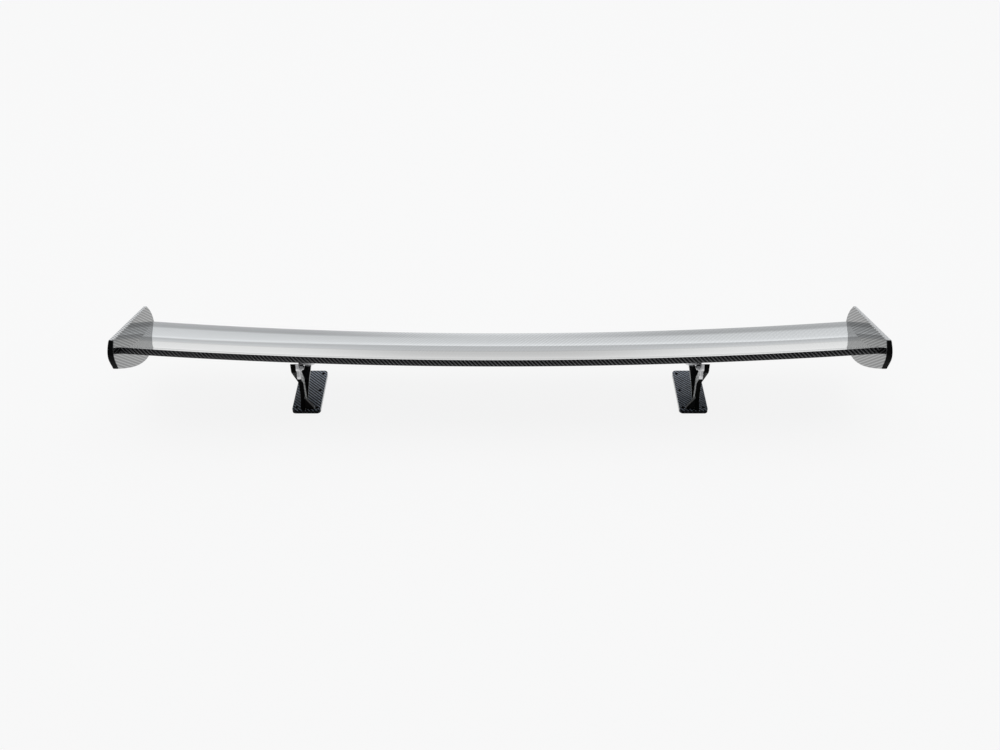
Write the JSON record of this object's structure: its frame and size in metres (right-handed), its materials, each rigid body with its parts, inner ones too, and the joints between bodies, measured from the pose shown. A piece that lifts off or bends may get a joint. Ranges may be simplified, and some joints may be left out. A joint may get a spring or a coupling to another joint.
{
  "type": "racing rear wing",
  "caption": "Full-width carbon rear wing with a blunt, dark trailing edge, shaped endplates and two forked stands on flat base plates; its angle of attack can be set.",
  "frame": {"origin": "midway between the two stands, in the plane of the base gaskets' undersides, halfway along the base plates", "axes": "+X to the right along the span, +Y towards the front of the car, +Z square to the base plates, up"},
  "size_m": [1.494, 0.2418, 0.2321],
  "materials": {
    "carbon_skin": "gloss clear-coated twill carbon laminate",
    "carbon_strip": "gloss clear-coated twill carbon laminate",
    "carbon_endplate": "gloss clear-coated twill carbon laminate",
    "carbon_stand": "gloss clear-coated twill carbon laminate",
    "carbon_plate": "gloss clear-coated twill carbon laminate",
    "carbon_dry": "bare carbon laminate inside the wing",
    "hardpoint_board": "machined high-density board",
    "bracket_alloy": "satin silver anodised",
    "black_steel": "black oxide",
    "zinc_steel": "bright zinc plate",
    "insert_brass": "machined",
    "bush_bronze": "machined bronze",
    "gasket_rubber": "matt cut sheet"
  },
  "bodies": {
    "stands": {"adjuster_bolt_left": "black_steel", "adjuster_bolt_right": "black_steel", "adjuster_nut_left": "zinc_steel", "adjuster_nut_right": "zinc_steel", "adjuster_washers_left": "zinc_steel", "adjuster_washers_right": "zinc_steel", "base_gasket_left": "gasket_rubber", "base_gasket_right": "gasket_rubber", "base_plate_left": "carbon_plate", "base_plate_right": "carbon_plate", "foot_screws_left": "black_steel", "foot_screws_right": "black_steel", "pivot_bolt_left": "black_steel", "pivot_bolt_right": "black_steel", "pivot_nut_left": "zinc_steel", "pivot_nut_right": "zinc_steel", "pivot_washers_left": "zinc_steel", "pivot_washers_right": "zinc_steel", "stand_blade_left": "carbon_stand", "stand_blade_right": "carbon_stand", "stand_gusset_left": "carbon_stand", "stand_gusset_right": "carbon_stand", "stand_stiffener_left": "carbon_stand", "stand_stiffener_right": "carbon_stand"},
    "wing": {"bracket_inserts_left": "insert_brass", "bracket_inserts_right": "insert_brass", "bracket_screws_left": "black_steel", "bracket_screws_right": "black_steel", "end_rib_left": "carbon_dry", "end_rib_right": "carbon_dry", "endplate_inserts_left": "insert_brass", "endplate_inserts_right": "insert_brass", "endplate_left": "carbon_endplate", "endplate_right": "carbon_endplate", "endplate_screws_left": "black_steel", "endplate_screws_right": "black_steel", "front_spar": "carbon_dry", "hardpoint_left": "hardpoint_board", "hardpoint_right": "hardpoint_board", "lower_skin": "carbon_skin", "pivot_bush_left": "bush_bronze", "pivot_bush_right": "bush_bronze", "rear_spar": "carbon_dry", "ribs": "carbon_dry", "trailing_edge_strip": "carbon_strip", "upper_skin": "carbon_skin", "wing_bracket_left": "bracket_alloy", "wing_bracket_right": "bracket_alloy"}
  },
  "joints": [
    {"name": "angle_of_attack", "type": "hinge", "parent": "stands", "child": "wing", "pos_m": [0, 0.028, 0.083], "axis": [-1, 0, 0], "range_deg": [-1, 6]}
  ]
}
